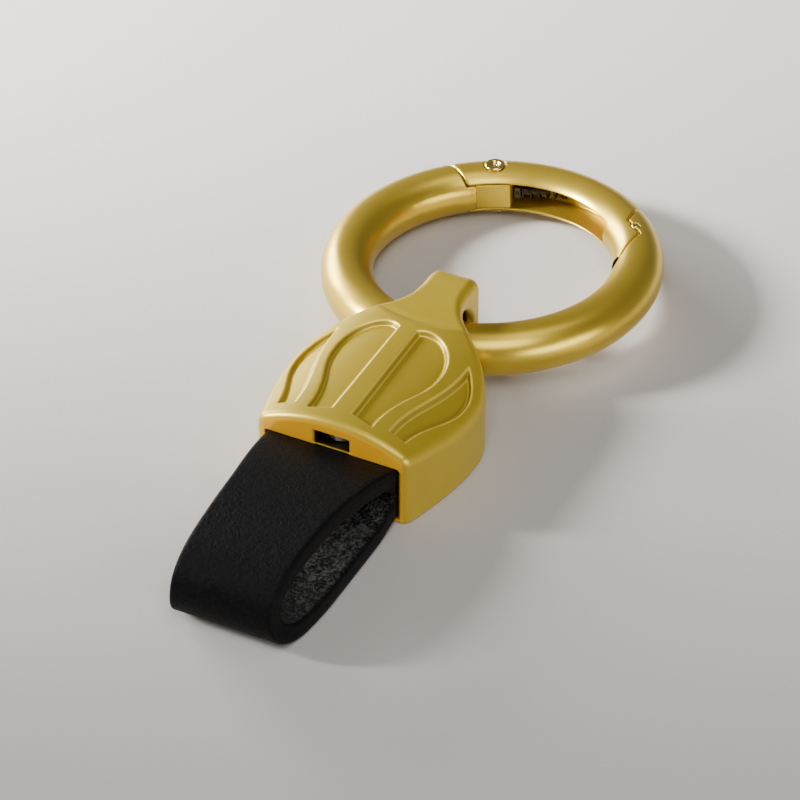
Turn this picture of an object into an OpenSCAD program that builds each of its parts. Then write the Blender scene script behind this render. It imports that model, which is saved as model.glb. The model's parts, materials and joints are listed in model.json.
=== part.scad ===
// Leather loop key fob: a folded leather strap held in a cast cap, and a spring-gate ring
// that swings in the bail at the cap's far end.
// Parts are drawn with y = 0 at the cap's strap mouth, z = 0 on the table and +Y towards
// the ring, then placed() puts the origin under the centre of the whole object.

/* [Ring] */
// Outside diameter of the ring
ring_od = 38; // [37:0.5:39]
// Diameter of the ring's round bar
bar_d = 5.75; // [5.6:0.05:5.9]
// Turn of the ring about the vertical, as it lies in the bail
ring_yaw = 2.5; // [0:0.5:3]
// Lean of the ring about the object's long axis, as it lies on the table
ring_lean = -3; // [-3:0.5:0]
// Dip of the ring's far end towards the table
ring_dip = -1.3; // [-2:0.1:-1]

/* [Gate] */
// Angle of the hinge pin round the ring, from +X
hinge_angle = 111.5; // [108:0.5:114]
// Radius of the hinge pin
pin_r = 0.75; // [0.6:0.05:0.8]
// Height of the slot between the gate's two cheeks
slot_h = 3.2; // [3:0.1:3.4]
// Gap at the gate's seams
seam_gap = 0.12; // [0.08:0.01:0.16]
// How far the tongue's cam is offset from the hinge pin
cam_offset = 1.15; // [1:0.05:1.2]
// Radius of the tongue's cam
cam_r = 2.1; // [2:0.05:2.1]

/* [Cap] */
// Width of the cap at the strap mouth
mouth_w = 17.3; // [17:0.1:18]
// Greatest width of the cap, at its shoulders
shoulder_w = 22; // [21:0.5:23]
// Width of the bail
bail_w = 5.35; // [5:0.05:5.6]
// Length of the cap, mouth to bail end
cap_len = 30.6; // [30:0.1:32]
// Height of the crown at the middle of the mouth
crown_h = 10.65; // [10.4:0.05:11]
// Height of the mouth's two top corners
corner_h = 8.5; // [8:0.1:9]
// Depth of the four sunk panels
panel_depth = 0.5; // [0.3:0.05:0.7]
// Thickness of the plate under the strap
plate_t = 0.65; // [0.6:0.05:0.8]

/* [Strap] */
// Width of the leather strap at the mouth
strap_w = 15.2; // [14:0.1:15.3]
// Width of the strap at the end of its loop
loop_w = 11.4; // [10:0.2:13]
// Thickness of the leather
ply_t = 2.2; // [2:0.1:2.2]
// How far the loop reaches out of the cap
loop_len = 24.4; // [23:0.2:26]

/* [Hidden] */
$fn = 96;
far = 60;

// Ring
bar_r = bar_d / 2;
ring_r = ring_od / 2 - bar_r;
bail_seat_y = 24.2;

// Direction of the ring's own Y axis and of its normal, after dip, lean and yaw
dip_y = [0, cos(ring_dip), sin(ring_dip)];
dip_z = [0, -sin(ring_dip), cos(ring_dip)];
ring_y_dir = yawed(leaned(dip_y));
ring_normal = yawed(leaned(dip_z));
// Height of the bar's centre in the bail that lets the ring's lowest point touch the table
bail_seat_z = bar_r + ring_r * (sqrt(1 - pow(ring_normal.z, 2)) - ring_y_dir.z);
ring_centre = [0, bail_seat_y, bail_seat_z] + ring_r * ring_y_dir;

function leaned(v) = [v.x * cos(ring_lean) + v.z * sin(ring_lean), v.y,
                      v.z * cos(ring_lean) - v.x * sin(ring_lean)];
function yawed(v) = [v.x * cos(ring_yaw) - v.y * sin(ring_yaw),
                     v.x * sin(ring_yaw) + v.y * cos(ring_yaw), v.z];

// Whole object
ring_far_y = ring_centre.y + ring_r * sqrt(1 - pow(ring_normal.y, 2)) + bar_r;
middle_x = ring_centre.x;
middle_y = (ring_far_y - loop_len) / 2;

// Gate hinge: u runs along the gate from the pin, v runs outwards
tongue_h = slot_h - 0.16;
pin_clearance = 0.05;
tongue_r = 1.75;
tongue_inner_v = -2.4;
spine_v = 1.9;
seam_reach = 4;
seam_turn = 214.6;
pocket_end_u = 3.4;
slot_outer_r = ring_r + 0.9;
slot_end_angle = 45;
head_r = 1.05;
head_seat = 2.6;
head_top = bar_r - 0.02;

// Latch seam, in the ring's plane from its centre
latch_out = [12.33, 26];
latch_step = [12.33, 9.75];
latch_corner = [14.45, 7.8];
latch_in = [13, 0.8];
latch_pin_at = [13.5, 8.96];
latch_pin_r = 0.5;

// Spring and its plunger, along u
plunger_u = cam_r + 0.04;
plunger_head_r = 1;
plunger_head_t = 0.8;
plunger_stem_r = 0.5;
plunger_stem_end = 6.1;
spring_end_u = 8.2;
spring_bore_r = 1.2;
spring_wire_r = 0.14;
spring_coil_r = 0.82;
spring_turns = 7;
spring_steps = 18;

// Cap
crown_rise = crown_h - corner_h;
crown_r = (pow(mouth_w / 2, 2) + pow(crown_rise, 2)) / (2 * crown_rise);
valley = [21.1, 9.95];
neck_top = [27.2, 10.25];
bail_bore_r = 3.75;
bail_bore_at = [bail_seat_y + 0.43, bail_seat_z + 0.45];
bail_flare = 0.5;
swing_gap = 0.2;
pocket_w = strap_w + 0.2;
pocket_depth = 13;
pocket_h = 6.4;

// Fastening: an M2 screw from below into a hexagon nut pushed in through the window
screw_y = 3.3;
screw_r = 1;
screw_head_r = 1.8;
screw_tip_z = 8.75;
nut_flats = 4;
nut_h = 1.6;
nut_floor_z = plate_t + pocket_h + 0.25;
window_w = 4.1;
window_depth = 6;

// Strap centre line, (y, z)
low_z = plate_t + ply_t / 2;
high_z = plate_t + pocket_h - ply_t / 2;
table_z = ply_t / 2;
loop_y = ply_t / 2 - loop_len;
strap_in_y = 12.5;
rise = [[0, high_z], [-4, high_z + 1.5], [-8.5, 8.05], [-13, 8.05]];
turn_over = [[-13, 8.05], [-17, 8.05], [loop_y, 7.9], [loop_y, 4.2]];
turn_under = [[loop_y, 4.2], [loop_y, 2.2], [loop_y + 1.3, table_z], [loop_y + 4.3, table_z]];
step_up = [[-5, table_z], [-2.6, table_z], [-2.2, low_z], [0, low_z]];
strap_line = concat([[strap_in_y, high_z]], bezier(rise, 10), bezier(turn_over, 14),
                    bezier(turn_under, 10), bezier(step_up, 6), [[0, low_z], [strap_in_y, low_z]]);

// Points of a cubic curve, without its last point
function bezier(p, count) = [for (i = [0 : count - 1]) let (t = i / count, s = 1 - t)
    s * s * s * p[0] + 3 * s * s * t * p[1] + 3 * s * t * t * p[2] + t * t * t * p[3]];
function unit(v) = v / norm(v);
// Points at a distance to the left of a line of points
function beside(line, d) = [for (i = [0 : len(line) - 1])
    let (a = line[max(i - 1, 0)], b = line[min(i + 1, len(line) - 1)], w = unit(b - a))
    line[i] + d * [-w.y, w.x]];
function reversed(list) = [for (i = [len(list) - 1 : -1 : 0]) list[i]];
function mirrored(list) = [for (p = reversed(list)) [-p.x, p.y]];

// Outline of the cap's right half, seen from above
cap_half = concat(
    bezier([[mouth_w / 2, 0], [9.6, 3.2], [shoulder_w / 2, 7.6], [shoulder_w / 2, 11.8]], 10),
    bezier([[shoulder_w / 2, 11.8], [shoulder_w / 2, 15], [9.6, 17.2], [7.4, 19.6]], 10),
    bezier([[7.4, 19.6], [5.2, 22], [bail_w / 2, 23.2], [bail_w / 2, 27.4]], 12),
    bezier([[bail_w / 2, cap_len - 1.4], [bail_w / 2, cap_len - 0.4],
            [bail_w / 2 - 0.3, cap_len], [bail_w / 2 - 1.2, cap_len]], 5),
    [[bail_w / 2 - 1.2, cap_len]]);

// Side outline of the cap, (y, z)
cap_side = concat([[0, -1], [0, crown_h + 1], [12, crown_h + 0.15]],
    bezier([[17, crown_h + 0.15], [19.3, crown_h + 0.1], [19.2, valley.y], valley], 10),
    bezier([valley, [22.8, valley.y], [24.5, neck_top.y], neck_top], 6),
    bezier([neck_top, [29.5, neck_top.y + 0.1], [cap_len, 9.5], [cap_len, 7.5]], 8),
    bezier([[cap_len, 1.6], [cap_len, 0.7], [cap_len - 0.7, 0], [cap_len - 1.6, 0]], 5),
    [[cap_len - 1.6, 0], [cap_len - 1.6, -1]]);

// Sunk panels on the right half, seen from above
inner_panel = concat([[1.1, 2.4]],
    bezier([[1, 17.9], [2.6, 19.4], [6.1, 17.8], [6.2, 13.4]], 10),
    bezier([[6.2, 13.4], [6.3, 8.8], [3.9, 7.8], [3.8, 1.7]], 10), [[3.8, 1.7]]);
outer_panel = concat(
    bezier([[5.45, 2.4], [5.4, 7.6], [7.8, 9.9], [7.7, 16.6]], 10),
    bezier([[7.7, 16.6], [8.6, 15.6], [9.8, 13.8], [9.85, 11.6]], 6),
    bezier([[9.85, 11.6], [9.9, 8], [7.9, 6.2], [7.4, 2.2]], 10), [[7.4, 2.2]]);

module placed() translate([-middle_x, -middle_y, 0]) children();
module in_ring() translate(ring_centre) rotate([ring_dip, ring_lean, ring_yaw]) children();
module at_hinge() rotate(hinge_angle - 90) translate([0, ring_r, 0]) children();
module layer(h) translate([0, 0, -h / 2]) linear_extrude(h) children();
// A shape drawn as (y, z), extruded across the object
module across(w) translate([-w / 2, 0, 0]) rotate([90, 0, 90]) linear_extrude(w) children();
module along_u() rotate([0, 90, 0]) children();

// ---------- cap ----------

// The cap's top surface, lowered by drop, over a block that reaches below the table
module under_crown(drop) {
    intersection() {
        translate([0, -1, crown_h - crown_r])
            rotate([-90, 0, 0]) cylinder(r = crown_r - drop, h = far, $fn = 180);
        translate([0, 0, -drop]) across(far) polygon(cap_side);
    }
}

module panels() {
    polygon(inner_panel);
    polygon(mirrored(inner_panel));
    polygon(outer_panel);
    polygon(mirrored(outer_panel));
}

module connector_cap() placed() color("gold") difference() {
    intersection() {
        linear_extrude(far) polygon(concat(cap_half, mirrored(cap_half)));
        under_crown(0);
    }
    difference() {
        translate([0, 0, corner_h - 4]) linear_extrude(10) panels();
        under_crown(panel_depth);
    }
    // Strap pocket
    translate([-pocket_w / 2, -1, plate_t]) cube([pocket_w, pocket_depth + 1, pocket_h]);
    // Window and nut slot
    translate([-window_w / 2, -1, nut_floor_z]) cube([window_w, window_depth + 1, nut_h + 0.05]);
    // Screw hole and countersink
    translate([0, screw_y, -1]) cylinder(r = screw_r + 0.1, h = 8.6);
    translate([0, screw_y, 0]) cylinder(r1 = screw_head_r + 0.1, r2 = screw_r + 0.1,
                                        h = screw_head_r - screw_r);
    // Bail bore, flared at both ends
    translate([0, bail_bore_at.x, bail_bore_at.y]) rotate([0, 90, 0]) {
        cylinder(r = bail_bore_r, h = far, center = true);
        for (side = [-1, 1]) translate([0, 0, side * (bail_w / 2 - bail_flare / 2)])
            cylinder(r1 = bail_bore_r + (side < 0 ? bail_flare : 0),
                     r2 = bail_bore_r + (side > 0 ? bail_flare : 0),
                     h = bail_flare, center = true);
    }
    swing_room();
}

// Scooped seat that the curved bar sweeps as the ring swings in the bail
module swing_room() in_ring() translate([0, -ring_r, 0]) rotate([0, 90, 0]) {
    edge = [for (x = [-10 : 0.5 : 10])
        [bar_r + swing_gap + ring_r - sqrt(pow(ring_r, 2) - pow(x, 2)), x]];
    rotate_extrude() polygon(concat([[0, -10]], edge, [[0, 10]]));
}

// ---------- strap and its fastening ----------

// Plan of one ply: half widths at distances out of the cap
module ply_plan(steps) {
    right = [for (s = steps) [s[1], -s[0]]];
    polygon(concat(right, mirrored(right)));
}

module leather_strap() placed() color("#1b1b1d") difference() {
    intersection() {
        across(far) polygon(concat(beside(strap_line, ply_t / 2),
                                   reversed(beside(strap_line, -ply_t / 2))));
        union() {
            translate([0, 0, 3.4]) linear_extrude(far)
                ply_plan([[-strap_in_y, strap_w / 2], [0, strap_w / 2], [5, 6.95], [10, 6.3],
                          [17, 5.9], [loop_len + 1, loop_w / 2]]);
            translate([0, 0, -1]) linear_extrude(4.4)
                ply_plan([[-strap_in_y, strap_w / 2], [15, strap_w / 2 - 0.1], [19, 7.2],
                          [21.5, 6.7], [loop_len + 1, loop_w / 2]]);
        }
    }
    translate([0, screw_y, -1]) cylinder(r = screw_r + 0.3, h = far);
}

module strap_filler() placed() color("#2a2623") difference() {
    translate([-strap_w / 2 + 0.6, 0.8, plate_t + ply_t])
        cube([strap_w - 1.2, strap_in_y - 0.8, pocket_h - 2 * ply_t]);
    translate([0, screw_y, -1]) cylinder(r = screw_r + 0.1, h = far);
}

module strap_screw() placed() color("silver") translate([0, screw_y, 0]) difference() {
    union() {
        translate([0, 0, 0.05]) cylinder(r1 = screw_head_r, r2 = screw_r, h = screw_head_r - screw_r);
        translate([0, 0, 0.05]) cylinder(r = screw_r, h = screw_tip_z - 0.05);
    }
    // Cross recess
    for (turn = [0, 90]) rotate(turn) cube([2, 0.4, 1.1], center = true);
}

module captive_nut() placed() color("silver")
    translate([0, screw_y, nut_floor_z]) rotate(30) difference() {
        cylinder(r = nut_flats / 2 / cos(30), h = nut_h, $fn = 6);
        translate([0, 0, -1]) cylinder(r = screw_r, h = nut_h + 2);
    }

// ---------- ring ----------

module torus() rotate_extrude($fn = 180) translate([ring_r, 0]) circle(bar_r, $fn = 64);

// Point on the hinge seam, s along it from its foot, at a distance past the seam
function hinge_seam(s, past) =
    let (n = [cos(seam_turn), sin(seam_turn)], t = [-n.y, n.x],
         p = (seam_reach + past) * n + s * t + [0, ring_r], a = hinge_angle - 90)
    [p.x * cos(a) - p.y * sin(a), p.x * sin(a) + p.y * cos(a)];

// Everything that belongs to the gate, seen from above, grown by a gap
module gate_zone(gap) polygon([
    hinge_seam(-12, gap), [-12, 30], latch_out + [gap, 0], latch_step + [gap, gap],
    latch_corner + [gap, gap], latch_in + [gap, 0], [6, 6], hinge_seam(4, gap)]);

module tongue_plan() {
    translate([-9, tongue_inner_v]) square([9, tongue_r - tongue_inner_v]);
    translate([-9, -6]) square([6.9, 6]);
    circle(tongue_r);
    intersection() {
        translate([0, -cam_offset]) circle(cam_r);
        translate([-5, tongue_inner_v]) square(10);
    }
}

module ring_body() placed() color("gold") in_ring() difference() {
    union() {
        difference() {
            torus();
            layer(far) gate_zone(seam_gap);
        }
        intersection() {
            torus();
            at_hinge() layer(tongue_h) tongue_plan();
        }
    }
    at_hinge() cylinder(r = pin_r + pin_clearance, h = far, center = true);
    translate(latch_pin_at) cylinder(r = latch_pin_r, h = far, center = true);
}

module latch_pin() placed() color("gold") in_ring() translate(latch_pin_at)
    cylinder(r = latch_pin_r, h = 2 * bar_r, center = true);

module ring_gate() placed() color("gold") in_ring() difference() {
    intersection() {
        torus();
        layer(far) gate_zone(0);
    }
    // Slot between the cheeks, open to the inside of the ring
    layer(slot_h) intersection() {
        circle(slot_outer_r);
        polygon([[0, 0], far * [cos(slot_end_angle), sin(slot_end_angle)], [0, far], [-far, far],
                 [-far, 0]]);
    }
    at_hinge() {
        // Room for the tongue
        layer(slot_h) translate([-9, -6]) square([9 + pocket_end_u, 6 + spine_v]);
        // Spring bore
        translate([0, -cam_offset, 0]) along_u()
            translate([0, 0, 2]) cylinder(r = spring_bore_r, h = spring_end_u - 2);
        cylinder(r = pin_r, h = far, center = true);
        for (side = [0, 1]) mirror([0, 0, side])
            translate([0, 0, head_seat]) cylinder(r = head_r + 0.1, h = 2);
    }
    translate(latch_pin_at) cylinder(r = latch_pin_r + 0.1, h = far, center = true);
}

module hinge_pin() placed() color("gold") in_ring() at_hinge() union() {
    cylinder(r = pin_r, h = 2 * head_seat, center = true);
    for (side = [0, 1]) mirror([0, 0, side]) translate([0, 0, head_seat]) difference() {
        cylinder(r1 = head_r, r2 = head_r - 0.15, h = head_top - head_seat);
        translate([0, 0, 0.1]) cylinder(r1 = 0.15, r2 = 0.45, h = 0.3);
    }
}

module spring_plunger() placed() color("silver") in_ring() at_hinge()
    translate([0, -cam_offset, 0]) along_u() union() {
        translate([0, 0, plunger_u]) cylinder(r = plunger_head_r, h = plunger_head_t);
        translate([0, 0, plunger_u]) cylinder(r = plunger_stem_r, h = plunger_stem_end - plunger_u);
    }

// Wire swept along a helix whose end turns lie flat
module coil(length, turns) {
    count = turns * spring_steps;
    sides = 8;
    rings = [for (i = [0 : count])
        let (t = i / count, a = 360 * turns * t,
             rise = length * min(1, max(0, (t * turns - 0.7) / (turns - 1.4))))
        [for (k = [0 : sides - 1]) let (b = 360 * k / sides, r = spring_coil_r + spring_wire_r * cos(b))
            [r * cos(a), r * sin(a), rise + spring_wire_r * sin(b)]]];
    body = [for (i = [0 : count - 1], k = [0 : sides - 1])
        [i * sides + k, i * sides + (k + 1) % sides,
         (i + 1) * sides + (k + 1) % sides, (i + 1) * sides + k]];
    polyhedron([for (ring = rings) for (p = ring) p],
               concat([[for (k = [sides - 1 : -1 : 0]) k]], body,
                      [[for (k = [0 : sides - 1]) count * sides + k]]), convexity = 10);
}

module gate_spring() placed() color("gray") in_ring() at_hinge()
    translate([0, -cam_offset, 0]) along_u()
        translate([0, 0, plunger_u + plunger_head_t + spring_wire_r + 0.02])
            coil(spring_end_u - plunger_u - plunger_head_t - 2 * spring_wire_r - 0.04, spring_turns);

connector_cap();
leather_strap();
strap_filler();
strap_screw();
captive_nut();
ring_body();
latch_pin();
ring_gate();
hinge_pin();
spring_plunger();
gate_spring();
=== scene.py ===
"""Leather loop key fob: the looks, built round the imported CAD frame.

Metal and small parts are drawn as distance fields in millimetres (negative inside), which gives
every cast and turned edge a true fillet, and are then meshed. The strap and the spring are swept.
"""

import itertools
import json
import math

import bpy
import numpy as np
from mathutils import Matrix, Vector, noise


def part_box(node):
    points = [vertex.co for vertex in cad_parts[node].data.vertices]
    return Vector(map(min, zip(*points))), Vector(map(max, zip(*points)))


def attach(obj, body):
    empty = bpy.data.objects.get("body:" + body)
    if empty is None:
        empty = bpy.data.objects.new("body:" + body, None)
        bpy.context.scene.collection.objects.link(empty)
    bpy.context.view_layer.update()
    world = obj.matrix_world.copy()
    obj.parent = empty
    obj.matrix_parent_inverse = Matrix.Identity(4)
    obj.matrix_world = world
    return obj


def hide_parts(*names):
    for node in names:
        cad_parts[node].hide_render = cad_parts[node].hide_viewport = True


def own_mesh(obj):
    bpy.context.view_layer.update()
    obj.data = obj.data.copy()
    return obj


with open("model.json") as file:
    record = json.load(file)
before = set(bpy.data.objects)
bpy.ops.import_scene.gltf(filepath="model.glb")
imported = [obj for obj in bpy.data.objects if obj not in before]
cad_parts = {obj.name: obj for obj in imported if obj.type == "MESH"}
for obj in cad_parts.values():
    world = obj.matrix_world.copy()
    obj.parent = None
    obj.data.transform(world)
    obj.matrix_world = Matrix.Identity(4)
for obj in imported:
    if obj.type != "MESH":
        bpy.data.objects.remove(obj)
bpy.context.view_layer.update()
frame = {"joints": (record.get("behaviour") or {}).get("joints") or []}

MM = 0.001

# ---------- sizes in millimetres, as in the CAD source ----------

# Ring
RING_R = 16.125
BAR_R = 2.875
HINGE_ANGLE = 111.5
PIN_R = 0.75
PIN_HOLE_R = 0.8
FIT = 0.1
SLOT_H = 3.2
TONGUE_H = 3.04
SEAM_GAP = 0.12
CAM_OFFSET = 1.15
CAM_R = 2.1
TONGUE_R = 1.75
TONGUE_INNER_V = -2.4
SPINE_V = 1.9
SEAM_REACH = 4
SEAM_TURN = 214.6
POCKET_END_U = 3.4
SLOT_OUTER_R = RING_R + 0.9
SLOT_END_ANGLE = 45
HEAD_SEAT = 2.6
HEAD_TOP = 3
LATCH_SEAM = [(12.33, 26), (12.33, 9.75), (14.45, 7.8), (13, 0.8)]
LATCH_PIN_AT = (13.5, 8.96)
LATCH_PIN_R = 0.5

# Spring and plunger
PLUNGER_U = CAM_R + 0.04
PLUNGER_HEAD_R = 1
PLUNGER_HEAD_T = 0.8
PLUNGER_STEM_R = 0.5
PLUNGER_STEM_END = 6.1
SPRING_END_U = 8.2
SPRING_BORE_R = 1.2
SPRING_WIRE_R = 0.14
SPRING_COIL_R = 0.82
SPRING_TURNS = 7

# Cap
MOUTH_W = 17.3
SHOULDER_W = 22
BAIL_W = 5.35
CAP_LEN = 30.6
CROWN_H = 10.65
CORNER_H = 8.5
PLATE_T = 0.65
VALLEY = (21.1, 9.95)
NECK_TOP = (27.2, 10.25)
BAIL_BORE_R = 3.75
BAIL_BORE_OFFSET = (0.43, 0.45)
SWING_GAP = 0.2
POCKET_H = 6.4
POCKET_DEPTH = 13
CROWN_RISE = CROWN_H - CORNER_H
CROWN_R = ((MOUTH_W / 2) ** 2 + CROWN_RISE**2) / (2 * CROWN_RISE)

# Screw and nut
SCREW_Y = 3.3
SCREW_R = 1
SCREW_HEAD_R = 1.8
SCREW_TIP_Z = 8.75
NUT_FLATS = 4
NUT_H = 1.6
NUT_FLOOR_Z = PLATE_T + POCKET_H + 0.25
WINDOW_W = 4.1
WINDOW_DEPTH = 6

# Strap
STRAP_W = 15.2
LOOP_W = 11.4
PLY_T = 2.2
LOOP_LEN = 24.4
STRAP_IN_Y = 12.5
POCKET_W = STRAP_W + 0.2

# Fillets and details that the CAD leaves out or draws more simply
HEAD_R = 1.2
DIMPLE_R = 0.72
CREASE = (20.35, 9.84)
PANEL_DEPTH = 0.56
PANEL_DRAFT = 0.62
CAP_EDGE_R = 0.85
NECK_EDGE_R = 1.05
SHOULDER_R = 0.18
MOUTH_CORNER_R = 0.8
FOOT_R = 0.35
PANEL_RIM_R = 0.11
PANEL_FLOOR_R = 0.09
BORE_RIM_R = 0.5
SEAM_EDGE_R = 0.16
GATE_EDGE_R = 0.34
SLOT_RIM_R = 0.22
VALLEY_BOW = 0.03
STRAP_EDGE_R = 0.45

# Longest distance from a panel that the cap's looks need
FAR = 2

# Mesh cells, and the steps along the strap
CAP_CELL = 0.17
RING_CELL = 0.14
GATE_CELL = 0.11
FILLER_CELL = 0.15
SMALL_CELL = 0.06
PIN_CELL = 0.05
STRAP_STEP = 0.32

# ---------- places, worked out from the frame ----------

cap_lo, cap_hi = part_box("connector_cap")
CAP_AT = Vector(((cap_lo.x + cap_hi.x) / 2, cap_lo.y, 0))
joints = {j["name"]: j for j in frame["joints"]}
RING_X = Vector(joints["ring_swing"]["axis"]).normalized()
RING_Z = -Vector(joints["gate_hinge"]["axis"]).normalized()
RING_Y = RING_Z.cross(RING_X)
SEAT = Vector(joints["ring_swing"]["pos_m"])
CAP_FRAME = Matrix.Translation(CAP_AT) @ Matrix.Scale(MM, 4)
RING_FRAME = Matrix.Translation(SEAT + RING_R * MM * RING_Y) @ Matrix(
    (RING_X, RING_Y, RING_Z)
).transposed().to_4x4() @ Matrix.Scale(MM, 4)
HINGE_FRAME = (
    RING_FRAME
    @ Matrix.Rotation(math.radians(HINGE_ANGLE - 90), 4, "Z")
    @ Matrix.Translation((0, RING_R, 0))
)
LATCH_FRAME = RING_FRAME @ Matrix.Translation((*LATCH_PIN_AT, 0))
PLUNGER_FRAME = (
    HINGE_FRAME @ Matrix.Translation((0, -CAM_OFFSET, 0)) @ Matrix.Rotation(math.pi / 2, 4, "Y")
)
SEAT_MM = (SEAT - CAP_AT) / MM

# ---------- outlines ----------


def bezier(a, b, c, d, count=24):
    """Points of a cubic curve, without its last point."""
    t = np.linspace(0, 1, count, endpoint=False)[:, None]
    s = 1 - t
    a, b, c, d = (np.array(p, float) for p in (a, b, c, d))
    return s**3 * a + 3 * s * s * t * b + 3 * s * t * t * c + t**3 * d


def mirrored(points):
    return np.array(points)[::-1] * (-1, 1)


def cap_plan():
    """Outline of the cap from above, carried on below the mouth."""
    half_w, shoulder, bail, end = MOUTH_W / 2, SHOULDER_W / 2, BAIL_W / 2, CAP_LEN
    half = np.concatenate([
        [(half_w - 1, -4)],
        bezier((half_w, 0), (9.6, 3.2), (shoulder, 7.6), (shoulder, 11.8)),
        bezier((shoulder, 11.8), (shoulder, 15), (9.6, 17.2), (7.4, 19.6)),
        bezier((7.4, 19.6), (5.2, 22), (bail, 23.2), (bail, 27.4)),
        bezier((bail, end - 1.4), (bail, end - 0.4), (bail - 0.3, end), (bail - 1.2, end), 8),
        [(bail - 1.2, end)],
    ])
    return np.concatenate([half, mirrored(half)])


def cap_side():
    """Side outline of the cap, (y, z), carried on below the table."""
    level, end = CROWN_H + 0.15, CAP_LEN
    return np.concatenate([
        [(-4, -4), (-4, CROWN_H + 2), (0, CROWN_H + 1), (12, level)],
        [(18.7, level), CREASE],
        bezier(VALLEY, (22.8, VALLEY[1]), (24.5, NECK_TOP[1]), NECK_TOP),
        bezier(NECK_TOP, (29.5, NECK_TOP[1] + 0.1), (end, 9.5), (end, 7.5)),
        bezier((end, 1.6), (end, 0.7), (end - 0.7, 0), (end - 1.6, 0), 12),
        [(end - 1.6, 0), (end - 1.6, -4)],
    ])


def inner_panel():
    return np.concatenate([
        [(1.1, 2.4)],
        bezier((1, 17.9), (2.6, 19.4), (6.1, 17.8), (6.2, 13.4)),
        bezier((6.2, 13.4), (6.3, 8.8), (3.9, 7.8), (3.8, 1.7)),
        [(3.8, 1.7)],
    ])


def outer_panel():
    return np.concatenate([
        bezier((5.45, 2.4), (5.4, 7.6), (7.8, 9.9), (7.7, 16.6)),
        bezier((7.7, 16.6), (8.6, 15.6), (9.8, 13.8), (9.85, 11.6), 12),
        bezier((9.85, 11.6), (9.9, 8), (7.9, 6.2), (7.4, 2.2)),
        [(7.4, 2.2)],
    ])


def hinge_seam(s):
    """Point on the hinge seam in the ring's plane, s along it."""
    a = math.radians(SEAM_TURN)
    across, along = Vector((math.cos(a), math.sin(a))), Vector((-math.sin(a), math.cos(a)))
    point = SEAM_REACH * across + s * along + Vector((0, RING_R))
    point.rotate(Matrix.Rotation(math.radians(HINGE_ANGLE - 90), 2))
    return point


def gate_zone():
    return np.array([hinge_seam(-12), (-12, 30), *LATCH_SEAM, (6, 6), hinge_seam(4)], float)


# ---------- distance fields ----------


def outline(points):
    """Signed distance from a closed outline, negative inside, as a function of two coordinates."""
    starts = np.array(points, float)
    ends = np.roll(starts, -1, axis=0)

    def distance(u, v):
        u, v = np.broadcast_arrays(u, v)
        nearest = np.full(u.shape, np.inf)
        inside = np.zeros(u.shape, bool)
        for (au, av), (bu, bv) in zip(starts, ends):
            eu, ev = bu - au, bv - av
            length = eu * eu + ev * ev
            if length < 1e-12:
                continue
            wu, wv = u - au, v - av
            share = np.clip((wu * eu + wv * ev) / length, 0, 1)
            nearest = np.minimum(nearest, (wu - eu * share) ** 2 + (wv - ev * share) ** 2)
            crosses = (av <= v) != (bv <= v)
            inside ^= crosses & ((wu * ev < wv * eu) == (ev > 0))
        return np.where(inside, -1, 1) * np.sqrt(nearest)

    return distance


def meet(a, b, r):
    """What is inside both, with the edge where they meet rounded to radius r."""
    return np.minimum(np.maximum(a, b), -r) + np.hypot(np.maximum(a + r, 0), np.maximum(b + r, 0))


def join(a, b, r):
    """What is inside either, with a fillet of radius r."""
    return -meet(-a, -b, r)


def cut(a, tool, r):
    """a without the tool, with the cut's rim rounded."""
    return meet(a, -tool, r)


def box(x, y, z, lo, hi, r):
    """Block from lo to hi with edges of radius r."""
    p = [np.abs(c - (a + b) / 2) - (b - a) / 2 + r for c, a, b in zip((x, y, z), lo, hi)]
    outside = np.sqrt(sum(np.maximum(q, 0) ** 2 for q in p))
    return outside + np.minimum(np.maximum(np.maximum(p[0], p[1]), p[2]), 0) - r


def rod(a, b, along, radius, lo, hi, r):
    """Cylinder along one coordinate, with rounded rims."""
    return meet(np.hypot(a, b) - radius, np.abs(along - (lo + hi) / 2) - (hi - lo) / 2, r)


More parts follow.
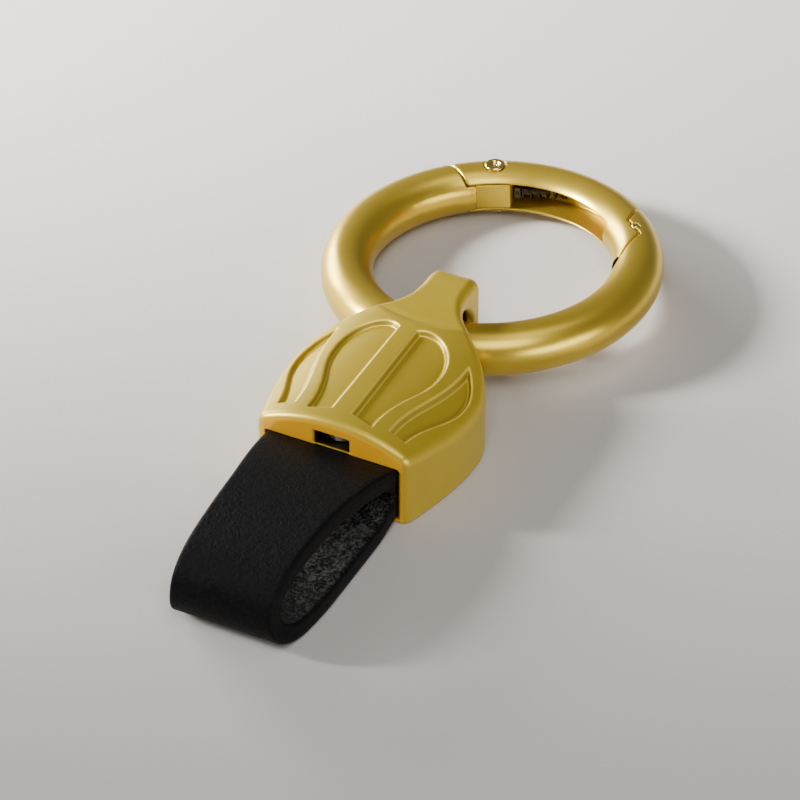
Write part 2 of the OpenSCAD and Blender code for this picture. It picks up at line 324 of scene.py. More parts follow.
def cap_field():
    plan, side = outline(cap_plan()), outline(cap_side())
    panels = [outline(inner_panel()), outline(outer_panel())]
    bore_y, bore_z = SEAT_MM.y + BAIL_BORE_OFFSET[0], SEAT_MM.z + BAIL_BORE_OFFSET[1]

    def field(x, y, z):
        crown = np.hypot(x, z - CROWN_H + CROWN_R) - CROWN_R
        roof = meet(crown, side(y - VALLEY_BOW * np.minimum(x * x, 30), z), SHOULDER_R)
        walls = meet(plan(x, y), -y + 0 * x, MOUTH_CORNER_R)
        towards_bail = np.clip((y - 19) / 6, 0, 1)
        edge_r = CAP_EDGE_R + (NECK_EDGE_R - CAP_EDGE_R) * towards_bail
        body = meet(walls, roof, edge_r)
        body = meet(body, -z, FOOT_R)
        for panel in panels:
            wall = (panel(np.abs(x), y) - PANEL_DRAFT * roof) / math.hypot(1, PANEL_DRAFT)
            sunk = meet(wall, -(roof + PANEL_DEPTH), PANEL_FLOOR_R)
            body = cut(body, sunk, PANEL_RIM_R)
        body = cut(body, np.hypot(y - bore_y, z - bore_z) - BAIL_BORE_R, BORE_RIM_R)
        body = cut(body, swing_room(x, y, z), BORE_RIM_R)
        pocket_lo = (-POCKET_W / 2, -3, PLATE_T)
        pocket_hi = (POCKET_W / 2, POCKET_DEPTH, PLATE_T + POCKET_H)
        body = cut(body, box(x, y, z, pocket_lo, pocket_hi, 0.15), 0.12)
        slot_lo = (-WINDOW_W / 2, -3, NUT_FLOOR_Z)
        slot_hi = (WINDOW_W / 2, WINDOW_DEPTH, NUT_FLOOR_Z + NUT_H + 0.05)
        body = cut(body, box(x, y, z, slot_lo, slot_hi, 0.12), 0.1)
        from_screw = np.hypot(x, y - SCREW_Y)
        hole = np.maximum(from_screw - SCREW_R - FIT, z - NUT_FLOOR_Z - 0.3)
        countersink = (from_screw + z - SCREW_HEAD_R - FIT) / math.sqrt(2)
        return cut(body, np.minimum(hole, countersink), 0.1)

    return field


def swing_room(x, y, z):
    """Scoop that the curved bar sweeps as the ring swings in the bail."""
    x, y, z = x - SEAT_MM.x, y - SEAT_MM.y, z - SEAT_MM.z
    along = x * RING_X.x + y * RING_X.y + z * RING_X.z
    out = np.sqrt(np.maximum(x * x + y * y + z * z - along**2, 0))
    depth = np.sqrt(np.maximum(RING_R**2 - along**2, 1))
    return (out - BAR_R - SWING_GAP - RING_R + depth) * depth / RING_R


def cap_marks(cap):
    """Values at the cap's points: share on the flat mouth face, share in the bail or nut slot, and
    distance outside the nearest sunk panel's outline in mm, which is FAR below the crown."""
    x, y, z = ((np.array([v.co for v in cap.data.vertices]) - CAP_AT) / MM).T
    inner, outer = (outline(panel)(np.abs(x), y) for panel in (inner_panel(), outer_panel()))
    from_panel = np.where(z > CORNER_H - 1.6, np.clip(np.minimum(inner, outer), -FAR, FAR), FAR)
    bore_y, bore_z = SEAT_MM.y + BAIL_BORE_OFFSET[0], SEAT_MM.z + BAIL_BORE_OFFSET[1]
    bore = np.hypot(y - bore_y, z - bore_z) - BAIL_BORE_R
    in_bail = np.minimum(np.abs(bore), np.abs(swing_room(x, y, z))) < 0.08
    in_bail = in_bail * np.clip((BAIL_W / 2 - 0.35 - np.abs(x)) / 0.5, 0, 1) * (y > VALLEY[0])
    slot_middle = NUT_FLOOR_Z + NUT_H / 2
    in_slot = (np.abs(x) < WINDOW_W / 2 + 0.1) & (np.abs(z - slot_middle) < NUT_H / 2 + 0.12)
    in_slot = in_slot * np.clip((y - 0.12) / 0.15, 0, 1) * (y < WINDOW_DEPTH + 0.2)
    # The hollow share marks where the cap's material paints shade into the bail bore and nut slot
    return {"mouth_face": np.clip(1.2 - y / 0.1, 0, 1), "hollow": np.maximum(in_bail, in_slot),
            "from_panel": from_panel}


def torus(x, y, z):
    return np.hypot(np.hypot(x, y) - RING_R, z) - BAR_R


def at_hinge(x, y):
    """(u, v) from the hinge pin: u runs along the gate, v outwards."""
    a = math.radians(HINGE_ANGLE - 90)
    return x * math.cos(a) + y * math.sin(a), y * math.cos(a) - x * math.sin(a) - RING_R


def from_latch_pin(x, y):
    return np.hypot(x - LATCH_PIN_AT[0], y - LATCH_PIN_AT[1])


def rect(u, v, lo, hi):
    return np.maximum(
        np.abs(u - (lo[0] + hi[0]) / 2) - (hi[0] - lo[0]) / 2,
        np.abs(v - (lo[1] + hi[1]) / 2) - (hi[1] - lo[1]) / 2,
    )


def ring_field():
    zone = outline(gate_zone())

    def field(x, y, z):
        bar = torus(x, y, z)
        open_bar = cut(bar, zone(x, y) - SEAM_GAP, SEAM_EDGE_R)
        u, v = at_hinge(x, y)
        root = rect(u, v, (-9, -6), (-2.1, 0))
        tongue = np.minimum(rect(u, v, (-9, TONGUE_INNER_V), (0, TONGUE_R)), root)
        tongue = np.minimum(tongue, np.hypot(u, v) - TONGUE_R)
        cam_side = rect(u, v, (-5, TONGUE_INNER_V), (5, 7))
        cam = np.maximum(np.hypot(u, v + CAM_OFFSET) - CAM_R, cam_side)
        tongue = meet(np.minimum(tongue, cam), np.abs(z) - TONGUE_H / 2, 0.12)
        body = join(open_bar, meet(tongue, bar, 0.12), 0.06)
        body = cut(body, np.hypot(u, v) - PIN_HOLE_R, 0.05)
        return cut(body, from_latch_pin(x, y) - LATCH_PIN_R, 0.08)

    return field


def gate_field():
    zone = outline(gate_zone())
    slot_end = math.radians(SLOT_END_ANGLE)

    def field(x, y, z):
        body = meet(torus(x, y, z), zone(x, y), GATE_EDGE_R)
        u, v = at_hinge(x, y)
        past_end = x * math.sin(slot_end) - y * math.cos(slot_end)
        channel = meet(np.hypot(x, y) - SLOT_OUTER_R, past_end, 0.6)
        channel = np.minimum(channel, rect(u, v, (-9, -6), (POCKET_END_U, SPINE_V)))
        body = cut(body, meet(channel, np.abs(z) - SLOT_H / 2, 0.25), SLOT_RIM_R)
        spring_bore = rod(v + CAM_OFFSET, z, u, SPRING_BORE_R, 0, SPRING_END_U, 0.1)
        body = cut(body, spring_bore, 0.05)
        body = cut(body, np.hypot(u, v) - PIN_R, 0.05)
        counterbore = np.maximum(np.hypot(u, v) - HEAD_R - FIT, HEAD_SEAT - np.abs(z))
        body = cut(body, counterbore, 0.1)
        return cut(body, from_latch_pin(x, y) - LATCH_PIN_R - FIT, 0.08)

    return field


def rivet_field(x, y, z):
    """Hinge pin with a domed and dimpled head at each end."""
    out, up = np.hypot(x, y), np.abs(z)
    head = rod(x, y, up, HEAD_R, HEAD_SEAT, HEAD_TOP, 0.3)
    head = cut(head, np.hypot(out, up - HEAD_TOP - 0.3) - DIMPLE_R, 0.08)
    return np.minimum(rod(x, y, z, PIN_R, -HEAD_SEAT, HEAD_SEAT, 0.02), head)


def latch_pin_field(x, y, z):
    return rod(x, y, z, LATCH_PIN_R, -BAR_R - 0.08, BAR_R + 0.08, 0.3)


def plunger_field(x, y, z):
    head = rod(x, y, z, PLUNGER_HEAD_R, PLUNGER_U, PLUNGER_U + PLUNGER_HEAD_T, 0.15)
    stem = rod(x, y, z, PLUNGER_STEM_R, PLUNGER_U + 0.2, PLUNGER_STEM_END, 0.12)
    return join(head, stem, 0.1)


def screw_field(x, y, z):
    y = y - SCREW_Y
    out = np.hypot(x, y)
    thread = 0.05 * np.cos(2 * np.pi * z / 0.4 - np.arctan2(y, x)) * np.clip(z - 1, 0, 1)
    shank = meet(out - SCREW_R + 0.05 - thread, np.abs(z - SCREW_TIP_Z / 2) - SCREW_TIP_Z / 2, 0.15)
    head = meet((out + z - SCREW_HEAD_R - 0.05) / math.sqrt(2), 0.06 - z, 0.04)
    head = np.maximum(head, z - 1)
    recess = np.minimum(rect(x, y, (-1, -0.2), (1, 0.2)), rect(x, y, (-0.2, -1), (0.2, 1)))
    return cut(np.minimum(shank, head), np.maximum(recess, z - 0.6), 0.05)


def nut_field(x, y, z):
    y, z = y - SCREW_Y, z - NUT_FLOOR_Z - NUT_H / 2
    sides = [np.abs(x * math.cos(a) + y * math.sin(a)) for a in np.radians((0, 60, 120))]
    hexagon = np.maximum(np.maximum(sides[0], sides[1]), sides[2]) - NUT_FLATS / 2
    body = meet(hexagon, np.abs(z) - NUT_H / 2, 0.1)
    a, b = math.sin(math.pi / 6), math.cos(math.pi / 6)
    chamfer = a * (np.hypot(x, y) - NUT_FLATS / 2) + b * (np.abs(z) - NUT_H / 2) + 0.1
    return cut(meet(body, chamfer, 0.05), np.hypot(x, y) - SCREW_R, 0.1)


def filler_field(x, y, z):
    lo = (-STRAP_W / 2 + 0.6, 0.8, PLATE_T + PLY_T)
    hi = (STRAP_W / 2 - 0.6, STRAP_IN_Y, PLATE_T + POCKET_H - PLY_T)
    layer_lines = 0.05 * np.cos(2 * np.pi * (z - lo[2]) / 0.66)
    body = box(x, y, z, lo, hi, 0.25) + 0.05 - layer_lines
    return cut(body, np.hypot(x, y - SCREW_Y) - SCREW_R - FIT, 0.05)


# ---------- meshing ----------


def surface_net(values):
    """Points, in cells from the grid's corner, and quads of the surface where values pass zero."""
    inside = values < 0
    cells = [n - 1 for n in values.shape]
    corners = list(itertools.product((0, 1), repeat=3))

    def at(array, corner):
        return array[tuple(slice(s, s + n) for s, n in zip(corner, cells))]

    count = sum(at(inside, c).astype(np.int8) for c in corners)
    crossed = (count > 0) & (count < 8)
    number = np.full(cells, -1)
    number[crossed] = np.arange(np.count_nonzero(crossed))
    total, crossings = np.zeros((np.count_nonzero(crossed), 3)), 0
    for a, b in itertools.combinations(corners, 2):
        if sum(abs(p - q) for p, q in zip(a, b)) != 1:
            continue
        from_a, from_b = at(values, a)[crossed], at(values, b)[crossed]
        passes = (from_a < 0) != (from_b < 0)
        share = np.where(passes, from_a / np.where(passes, from_a - from_b, 1), 0)
        step = np.subtract(b, a)
        total += np.where(passes[:, None], np.array(a) + share[:, None] * step, 0)
        crossings = crossings + passes
    points = np.argwhere(crossed) + total / crossings[:, None]
    quads = []
    for axis in range(3):
        b, c = (axis + 1) % 3, (axis + 2) % 3
        here = [slice(1, n) for n in cells]
        here[axis] = slice(0, cells[axis])
        ahead = list(here)
        ahead[axis] = slice(1, cells[axis] + 1)
        low, high = inside[tuple(here)], inside[tuple(ahead)]
        node = np.argwhere(low != high) + [0 if i == axis else 1 for i in range(3)]
        leaves = low[low != high]
        loop = []
        for back_b, back_c in ((1, 1), (0, 1), (0, 0), (1, 0)):
            cell = node.copy()
            cell[:, b] -= back_b
            cell[:, c] -= back_c
            loop.append(number[tuple(cell.T)])
        loop = np.stack(loop, 1)
        quads.append(np.where(leaves[:, None], loop, loop[:, ::-1]))
    return points, np.concatenate(quads)


def relaxed(points, quads, share=0.5):
    """Each point moved part of the way to the middle of its neighbours, to even out the quads."""
    a, b = quads.ravel(), np.roll(quads, -1, axis=1).ravel()
    near = [np.bincount(a, points[b, i]) + np.bincount(b, points[a, i]) for i in range(3)]
    return points + share * (np.stack(near, 1) / (2 * np.bincount(a))[:, None] - points)


def slopes(field, points, step=0.01):
    """The field's gradient at each point."""
    moves = step * np.eye(3)
    rises = [field(*(points + m).T) - field(*(points - m).T) for m in moves]
    return np.stack([rise / (2 * step) for rise in rises], 1)


def solid(name, field, lo, hi, cell, place):
    """Meshes the zero surface of a field between two corners and puts it in the row frame."""
    axes = [np.arange(a - 2 * cell, b + 2.5 * cell, cell) for a, b in zip(lo, hi)]
    x, y, z = np.meshgrid(*axes, indexing="ij", sparse=True)
    values = np.broadcast_to(field(x, y, z), [len(a) for a in axes])
    points, quads = surface_net(values)
    points = points * cell + [a[0] for a in axes]
    for turn in range(4):
        points = relaxed(points, quads) if turn < 3 else points
        slope = slopes(field, points)
        size = np.maximum((slope**2).sum(1), 0.25)
        move = field(*points.T)[:, None] * slope / size[:, None]
        points = points - np.clip(move, -cell / 2, cell / 2)
    normals = slopes(field, points)
    return piece(name, points, quads, place, normals)


def piece(name, points, faces, place, normals=None):
    """New object from points in millimetres, smooth shaded."""
    mesh = bpy.data.meshes.new(name)
    turn = np.array(place)
    mesh.from_pydata((points @ turn[:3, :3].T + turn[:3, 3]).tolist(), [], [list(f) for f in faces])
    mesh.shade_smooth()
    if normals is not None:
        normals = normals @ turn[:3, :3].T
        normals /= np.maximum(np.linalg.norm(normals, axis=1), 1e-12)[:, None]
        mesh.normals_split_custom_set_from_vertices(normals.tolist())
    made = bpy.data.objects.new(name, mesh)
    bpy.context.scene.collection.objects.link(made)
    return made


# ---------- strap and spring, swept ----------


def strap_line():
    """Centre line of the leather, (y, z), from inside the cap round the loop and back in."""
    low_z, table_z = PLATE_T + PLY_T / 2, PLY_T / 2
    high_z, loop_y = PLATE_T + POCKET_H - PLY_T / 2, PLY_T / 2 - LOOP_LEN
    return np.concatenate([
        [(STRAP_IN_Y, high_z)],
        bezier((0, high_z), (-4, high_z + 1.5), (-8.5, 8.05), (-13, 8.05)),
        bezier((-13, 8.05), (-17, 8.05), (loop_y, 7.9), (loop_y, 4.2)),
        bezier((loop_y, 4.2), (loop_y, 2.2), (loop_y + 1.3, table_z), (loop_y + 4.3, table_z)),
        bezier((-5, table_z), (-2.6, table_z), (-2.2, low_z), (0, low_z)),
        [(0, low_z), (STRAP_IN_Y, low_z)],
    ])


def evenly(points, step):
    """The same line with points at even steps, and the distance along it."""
    ahead = np.concatenate([[0], np.cumsum(np.linalg.norm(np.diff(points, axis=0), axis=1))])
    at = np.linspace(0, ahead[-1], round(ahead[-1] / step) + 1)
    return np.stack([np.interp(at, ahead, points[:, i]) for i in range(2)], 1), at


def strap_section(half_w, half_t, corner_r, faces=44, edges=7, arcs=5):
    """Closed section of the strap, (across, outwards), starting on the outer face."""
    quarter = np.linspace(0, math.pi / 2, arcs + 1)[1:-1]
    arc = np.stack([np.sin(quarter), np.cos(quarter)], 1) * corner_r
    flat = np.linspace(-1, 1, faces) * (half_w - corner_r)
    rise = np.linspace(1, -1, edges) * (half_t - corner_r)
    top = np.stack([flat, np.full(faces, half_t)], 1)
    corner = arc + (half_w - corner_r, half_t - corner_r)
    side = np.stack([np.full(edges, half_w), rise], 1)
    half = np.concatenate([top, corner, side, corner[::-1] * (1, -1)])
    return np.concatenate([half, -half])


def swept_faces(rings, sides):
    """Quads between closed rings of points, and a face over each end."""
    number = np.arange(rings * sides).reshape(rings, sides)
    ahead = np.roll(number, -1, axis=1)
    quads = np.stack([number[:-1], ahead[:-1], ahead[1:], number[1:]], -1).reshape(-1, 4)
    return [list(q) for q in quads] + [list(number[0][::-1]), list(number[-1])]


def leather_strap():
    line, along = evenly(strap_line(), STRAP_STEP)
    ahead = np.gradient(line, axis=0)
    ahead /= np.linalg.norm(ahead, axis=1)[:, None]
    outward = np.stack([ahead[:, 1], -ahead[:, 0]], 1)
    turn_at = along[np.argmin(line[:, 0])]
    reach = np.clip(-line[:, 0], 0, LOOP_LEN)
    full, fold = STRAP_W / 2, LOOP_W / 2
    upper = np.interp(reach, (0, 5, 10, 17, LOOP_LEN), (full, 6.95, 6.3, 5.9, fold))
    lower = np.interp(reach, (0, 15, 19, 21.5, LOOP_LEN), (full, full - 0.1, 7.2, 6.7, fold))
    blend = np.clip((along - turn_at + 2.5) / 6, 0, 1)
    blend = blend * blend * (3 - 2 * blend)
    half_w = np.minimum(smoothed(upper + (lower - upper) * blend, 9), full)
    points, marks = [], []
    for (y, z), out, w, s in zip(line, outward, half_w, along):
        section = strap_section(w, PLY_T / 2, STRAP_EDGE_R)
        for across, up in section:
            flesh = min(max(0.5 - up / (PLY_T - 0.6), 0), 1)
            place = Vector((across, s, up))
            rough = 0.05 * noise.fractal(place * 1.7, 0.6, 2, 4) * flesh
            grain = 0.012 * noise.noise(place * 0.9) * (1 - flesh)
            lift = up + (rough + grain) * math.copysign(1, up)
            points.append((across, y + out[0] * lift, z + out[1] * lift))
            marks.append((flesh, w - abs(across), abs(s - turn_at)))
    strap = piece("leather_loop", np.array(points), swept_faces(len(line), len(section)), CAP_FRAME)
    for name, column in zip(("flesh", "from_edge", "from_fold"), np.array(marks).T):
        strap.data.attributes.new(name, "FLOAT", "POINT").data.foreach_set("value", column)
    return strap


def smoothed(values, width):
    padded = np.pad(values, width // 2, mode="edge")
    return np.convolve(padded, np.ones(width) / width, "valid")


def gate_spring(sides=10, steps=26):
    """Wire swept along a helix with flat end turns."""
    start = PLUNGER_U + PLUNGER_HEAD_T + SPRING_WIRE_R + 0.02
    length = SPRING_END_U - PLUNGER_U - PLUNGER_HEAD_T - 2 * SPRING_WIRE_R - 0.04
    count = SPRING_TURNS * steps
    t = np.linspace(0, 1, count + 1)
    a = 2 * np.pi * SPRING_TURNS * t[:, None]
    rise = length * np.clip((t * SPRING_TURNS - 0.7) / (SPRING_TURNS - 1.4), 0, 1)[:, None]
    b = np.linspace(0, 2 * np.pi, sides, endpoint=False)[None]
    r = SPRING_COIL_R + SPRING_WIRE_R * np.cos(b)
    points = np.stack([r * np.cos(a), r * np.sin(a), start + rise + SPRING_WIRE_R * np.sin(b)], -1)
    faces = swept_faces(count + 1, sides)
    return piece("compression_spring", points.reshape(-1, 3), faces, PLUNGER_FRAME)


# ---------- materials ----------

# Painted highlight: colour of the bright lines on the sunk panels' rims and wall feet
PANEL_EDGE_PAINTED_HIGHLIGHT = (0.80, 0.61, 0.075)
# Painted shade: colour laid in the bail bore and the nut slot, where shade falls
HOLLOW_PAINTED_SHADE = (0.016, 0.009, 0.003)


class Shader:
    """A new material and short ways to add nodes to it."""

    def __init__(self, name):
        self.material = bpy.data.materials.new(name)
        self.material.use_nodes = True
        self.nodes = self.material.node_tree.nodes
        self.links = self.material.node_tree.links
        self.surface = self.nodes["Principled BSDF"]

    def node(self, kind, **settings):
        made = self.nodes.new(kind)
        for key, value in settings.items():
            if key.startswith("in_"):
                made.inputs[key[3:].replace("_", " ")].default_value = value
            else:
                setattr(made, key, value)
        return made

    def link(self, source, target):
        self.links.new(source, target)

    def noise(self, scale, detail=3.0, roughness=0.55):
        made = self.node(
            "ShaderNodeTexNoise", in_Scale=scale, in_Detail=detail, in_Roughness=roughness
        )
        place = self.node("ShaderNodeTexCoord").outputs["Object"]
        self.link(place, made.inputs["Vector"])
        return made.outputs["Fac"]

    def spread(self, value, lo, hi, from_lo=0.3, from_hi=0.7):
        """value from from_lo to from_hi, spread over lo to hi."""
        made = self.node("ShaderNodeMapRange")
        ends = {"From Min": from_lo, "From Max": from_hi, "To Min": lo, "To Max": hi}
        for socket, number in ends.items():
            made.inputs[socket].default_value = number
        self.link(value, made.inputs["Value"])
        return made.outputs["Result"]

    def blend(self, share, a, b):
        """Colour from a to b; each is a colour or a socket."""
        made = self.node("ShaderNodeMix", data_type="RGBA")
        self.link(share, made.inputs[0])
        for colour, socket in ((a, made.inputs[6]), (b, made.inputs[7])):
            if isinstance(colour, tuple):
                socket.default_value = (*colour, 1)
            else:
                self.link(colour, socket)
        return made.outputs[2]

    def sum(self, operation, a, b):
        made = self.node("ShaderNodeMath", operation=operation)
        for value, socket in zip((a, b), made.inputs):
            if isinstance(value, (int, float)):
                socket.default_value = value
            else:
                self.link(value, socket)
        return made.outputs[0]

    def mark(self, name):
        return self.node("ShaderNodeAttribute", attribute_name=name).outputs["Fac"]

    def bump(self, height, distance):
        made = self.node("ShaderNodeBump", in_Strength=1.0, in_Distance=distance)
        self.link(height, made.inputs["Height"])
        self.link(made.outputs["Normal"], self.surface.inputs["Normal"])

    def set(self, **values):
        for key, value in values.items():
            self.surface.inputs[key.replace("_", " ")].default_value = value


def gold(name, deep, light, metallic, rough_lo, rough_hi, grain_depth, face=None):
    """Plated cast metal: colour and roughness drift slowly, over a fine blasted grain.

    A face colour goes on the flat mouth face as painted warm light, the orange glow of light
    bouncing off it, and the face is made less metallic. The marked hollows are painted nearly black
    as shade, the sunk panels' walls are painted darker as shade, and their rims and feet carry
    painted highlight lines.
    """
    s = Shader(name)
    s.set(Metallic=metallic, Specular_IOR_Level=0.6)
    colour = s.blend(s.spread(s.noise(120), 0, 1), deep, light)
    if face:
        foot_at = PANEL_DRAFT * PANEL_DEPTH + 0.04
        from_rim = s.sum("ABSOLUTE", s.sum("SUBTRACT", s.mark("from_panel"), 0.02), 0)
        from_foot = s.sum("ABSOLUTE", s.sum("ADD", s.mark("from_panel"), foot_at), 0)
        # Painted highlight lines along the sunk panels' rims and the feet of their walls
        rim_line = s.spread(from_rim, 1, 0, 0.05, 0.14)
        foot_line = s.spread(from_foot, 0.7, 0, 0.03, 0.12)
        # Painted shade: the sunk panels' walls, from rim to foot, are painted darker
        below_rim = s.spread(s.mark("from_panel"), 1, 0, -0.12, -0.02)
        above_foot = s.spread(s.mark("from_panel"), 0, 1, -0.4, -0.3)
        shaded = tuple(0.72 * c for c in deep)
        colour = s.blend(s.sum("MULTIPLY", below_rim, above_foot), colour, shaded)
        colour = s.blend(s.sum("MAXIMUM", rim_line, foot_line), colour, PANEL_EDGE_PAINTED_HIGHLIGHT)
        # Painted warm light: the mouth face gets a deeper orange colour and less metallic shine,
        # standing in for light glowing off it
        colour = s.blend(s.mark("mouth_face"), colour, face)
        # Painted shade: the bail bore and nut slot are painted nearly black
        colour = s.blend(s.mark("hollow"), colour, HOLLOW_PAINTED_SHADE)
        s.link(s.spread(s.mark("mouth_face"), metallic, 0.4, 0, 1), s.surface.inputs["Metallic"])
    s.link(colour, s.surface.inputs["Base Color"])
    s.link(s.spread(s.noise(420, 3), rough_lo, rough_hi), s.surface.inputs["Roughness"])
    s.bump(s.noise(1300, 2), grain_depth)
    return s.material


def leather():
    """Black leather: pebbled outside, burnished at the edges, curly fibre on the flesh side."""
    s = Shader("black_leather_looks")
    inside_rim = s.spread(s.mark("from_edge"), 0, 1, 0.15, 0.75)
    flesh = s.sum("MULTIPLY", s.spread(s.mark("flesh"), 0, 1, 0.86, 1), inside_rim)
    grain_side = s.spread(s.mark("flesh"), 1, 0, 0.05, 0.3)
    fine, pebble, fibre = s.noise(5200, 3, 0.6), s.noise(2100, 3), s.noise(2900, 6, 0.75)
    tuft = s.sum("ADD", s.sum("MULTIPLY", fibre, 0.8), s.sum("MULTIPLY", s.noise(800, 3), 0.2))
    outer = s.blend(s.spread(pebble, 0, 1), (0.0010, 0.0010, 0.0012), (0.0040, 0.0040, 0.0044))
    # Painted shade: the flesh side is painted darker towards the fold, where the loop shades it
    fold_painted_shade = s.spread(s.mark("from_fold"), 0.06, 1, 2, 11)
    fibre_and_fold_shade = s.sum("MULTIPLY", s.spread(tuft, 0, 1, 0.46, 0.6), fold_painted_shade)
    inner = s.blend(fibre_and_fold_shade, (0.003, 0.003, 0.003), (0.098, 0.097, 0.096))
    s.link(s.blend(flesh, outer, inner), s.surface.inputs["Base Color"])
    worn = s.sum("ADD", s.spread(fine, 0.48, 0.66), s.sum("MULTIPLY", flesh, 0.3))
    s.link(worn, s.surface.inputs["Roughness"])
    s.set(Specular_IOR_Level=0.08)
    grain = s.sum("MULTIPLY", s.sum("ADD", s.sum("MULTIPLY", fine, 0.7), pebble), grain_side)
    height = s.sum("ADD", grain, s.sum("MULTIPLY", s.sum("MULTIPLY", fibre, flesh), 2.5))
    s.bump(height, 0.00009)
    return s.material


def filler_leather():
    s = Shader("filler_looks")
    strand = s.noise(1800, 5, 0.7)
    colour = s.blend(s.spread(strand, 0, 1), (0.012, 0.010, 0.009), (0.05, 0.042, 0.036))
    s.link(colour, s.surface.inputs["Base Color"])
    s.link(s.spread(strand, 0.75, 0.95), s.surface.inputs["Roughness"])
    s.bump(strand, 0.00008)
    return s.material


def steel(name, light, rough_lo, rough_hi, metallic=1.0):
    s = Shader(name)
    s.set(Metallic=metallic)
    dark = tuple(0.8 * c for c in light)
    s.link(s.blend(s.spread(s.noise(700), 0, 1), dark, light), s.surface.inputs["Base Color"])
    s.link(s.spread(s.noise(2500, 4), rough_lo, rough_hi), s.surface.inputs["Roughness"])
    s.bump(s.noise(6000, 2), 0.000004)
    return s.material


def floor_material():
    s = Shader("floor_looks")
    colour = s.blend(s.spread(s.noise(6), 0, 1), (0.515, 0.488, 0.463), (0.54, 0.513, 0.487))
    s.link(colour, s.surface.inputs["Base Color"])
    s.set(Roughness=0.62, Specular_IOR_Level=0.25)
    return s.material


# ---------- pieces on their bodies ----------

# The cap's face colour below is painted warm light on its mouth face
CAST_GOLD = gold(
    "cap_gold_looks", (0.49, 0.348, 0.022), (0.53, 0.378, 0.026),
    metallic=0.55, rough_lo=0.36, rough_hi=0.42, grain_depth=0.000002, face=(0.86, 0.42, 0.006),
)
RING_GOLD = gold(
    "ring_gold_looks", (0.60, 0.415, 0.042), (0.64, 0.45, 0.05),
    metallic=0.85, rough_lo=0.29, rough_hi=0.33, grain_depth=0.000001,
)
BRIGHT_GOLD = gold(
    "pin_gold_looks", (0.86, 0.66, 0.16), (0.92, 0.72, 0.2),
    metallic=1.0, rough_lo=0.14, rough_hi=0.2, grain_depth=0.000001,
)
STEEL = steel("steel_looks", (0.93, 0.92, 0.90), 0.3, 0.36, metallic=0.55)
DARK_STEEL = steel("dark_steel_looks", (0.07, 0.055, 0.035), 0.36, 0.46)


def show(made, body, node, material):
    """Gives a piece its body and its looks, and hides the CAD node it stands for."""
    made.data.materials.append(material)
    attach(made, body)
    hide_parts(node)
    return made


cap = solid("cast_cap", cap_field(), (-SHOULDER_W / 2, 0, 0), (SHOULDER_W / 2, CAP_LEN, CROWN_H),
            CAP_CELL, CAP_FRAME)
for mark, value in cap_marks(cap).items():
    cap.data.attributes.new(mark, "FLOAT", "POINT").data.foreach_set("value", value)
show(cap, "cap", "connector_cap", CAST_GOLD)
show(leather_strap(), "cap", "leather_strap", leather())

# Each piece's name, field, corners, cell and frame, then its body, node, slot and looks
ring_reach = RING_R + BAR_R
MESHED = (
    ("filler_block", filler_field, (-STRAP_W / 2, 0, PLATE_T), (STRAP_W / 2, STRAP_IN_Y + 1, 6),
     FILLER_CELL, CAP_FRAME, "cap", "strap_filler", "filler_leather", filler_leather()),
    ("screw", screw_field, (-2, SCREW_Y - 2, 0), (2, SCREW_Y + 2, SCREW_TIP_Z),
     SMALL_CELL, CAP_FRAME, "cap", "strap_screw", "steel", STEEL),
    ("hex_nut", nut_field, (-2.4, SCREW_Y - 2.4, NUT_FLOOR_Z),
     (2.4, SCREW_Y + 2.4, NUT_FLOOR_Z + NUT_H),
     SMALL_CELL, CAP_FRAME, "cap", "captive_nut", "steel", STEEL),
    ("round_bar", ring_field(), (-ring_reach, -ring_reach, -BAR_R), (ring_reach, ring_reach, BAR_R),
     RING_CELL, RING_FRAME, "ring", "ring_body", "ring_gold", RING_GOLD),
    ("latch_rod", latch_pin_field, (-0.6, -0.6, -BAR_R), (0.6, 0.6, BAR_R),
     PIN_CELL, LATCH_FRAME, "ring", "latch_pin", "ring_gold", BRIGHT_GOLD),
    ("gate_arm", gate_field(), (-10.5, 4, -BAR_R), (ring_reach, ring_reach, BAR_R),
     GATE_CELL, RING_FRAME, "gate", "ring_gate", "ring_gold", RING_GOLD),
    ("hinge_rivet", rivet_field, (-1.3, -1.3, -HEAD_TOP), (1.3, 1.3, HEAD_TOP),
     PIN_CELL, HINGE_FRAME, "gate", "hinge_pin", "ring_gold", BRIGHT_GOLD),
    ("plunger", plunger_field, (-1, -1, PLUNGER_U), (1, 1, PLUNGER_STEM_END),
     SMALL_CELL, PLUNGER_FRAME, "plunger", "spring_plunger", "steel", DARK_STEEL),
)
for name, field, lo, hi, cell, place, body, node, slot, material in MESHED:
    show(solid(name, field, lo, hi, cell, place), body, node, material)

spring = show(gate_spring(), "gate", "gate_spring", DARK_STEEL)
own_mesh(spring)

# ---------- floor, light and camera ----------

CAMERA_AZIMUTH = 26.35
CAMERA_ELEVATION = 38.46
CAMERA_DISTANCE = 0.4301
CAMERA_LENS = 180
TARGET = CAP_AT + Vector((-1.29, 18.54, 0)) * MM


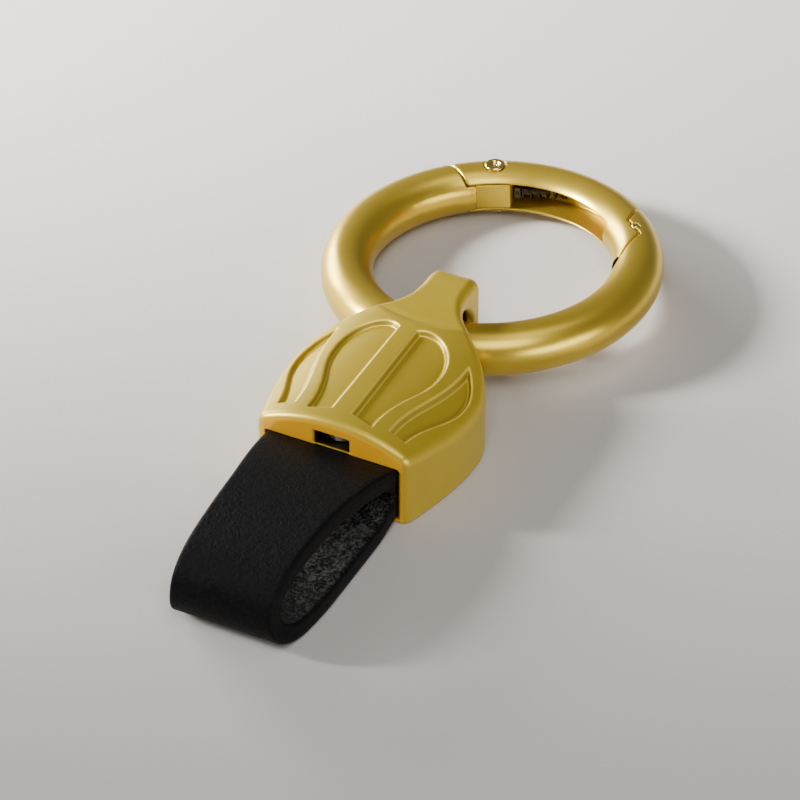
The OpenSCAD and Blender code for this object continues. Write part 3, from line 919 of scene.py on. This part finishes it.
def direction(azimuth, elevation):
    """Unit vector towards a place at this azimuth, from -Y towards +X, and elevation."""
    a, e = math.radians(azimuth), math.radians(elevation)
    return Vector((math.sin(a) * math.cos(e), -math.cos(a) * math.cos(e), math.sin(e)))


def aimed(made, place, target):
    made.location = place
    made.rotation_mode = "QUATERNION"
    made.rotation_quaternion = (target - place).to_track_quat("-Z", "Y")
    bpy.context.scene.collection.objects.link(made)


def softbox(name, azimuth, elevation, distance, size, power, colour, spread=180, aim=(0, 0)):
    """Area light towards an azimuth and elevation, turned to a point beside the object, in mm."""
    light = bpy.data.lights.new(name, "AREA")
    light.shape, light.size, light.size_y = "RECTANGLE", *size
    light.energy, light.color = power, colour
    light.spread = math.radians(spread)
    place = TARGET + direction(azimuth, elevation) * distance
    aimed(bpy.data.objects.new(name, light), place, TARGET + Vector((*aim, 0)) * MM)


def floor(side=3.0):
    corners = [(-side, -side, 0), (side, -side, 0), (side, side, 0), (-side, side, 0)]
    made = piece("floor", np.array(corners) / MM, [(0, 1, 2, 3)], Matrix.Scale(MM, 4))
    made.data.materials.append(floor_material())


floor()
softbox("key", -70, 27, 0.5, (0.1, 0.1), 0.68, (1.0, 0.99, 0.97), spread=34, aim=(-70, 75))
softbox("rim", -112, 13, 0.6, (0.3, 0.2), 5, (1.0, 0.99, 0.975))
softbox("top", 150, 80, 0.5, (0.25, 0.25), 0.05, (1.0, 0.99, 0.975), spread=60, aim=(-50, 100))
softbox("fill", 68, 11, 1.0, (0.8, 0.3), 6, (1.0, 0.985, 0.955))
softbox("front", 30, 58, 0.8, (0.4, 0.4), 2.8, (1.0, 0.99, 0.975))
world = bpy.data.worlds.new("studio")
world.use_nodes = True
world.node_tree.nodes["Background"].inputs["Color"].default_value = (0.90, 0.885, 0.87, 1)
world.node_tree.nodes["Background"].inputs["Strength"].default_value = 0.2
bpy.context.scene.world = world

lens = bpy.data.cameras.new("camera")
lens.lens, lens.sensor_width = CAMERA_LENS, 36
lens.clip_start, lens.clip_end = 0.01, 10
camera = bpy.data.objects.new("camera", lens)
aimed(camera, TARGET + direction(CAMERA_AZIMUTH, CAMERA_ELEVATION) * CAMERA_DISTANCE, TARGET)
bpy.context.scene.camera = camera
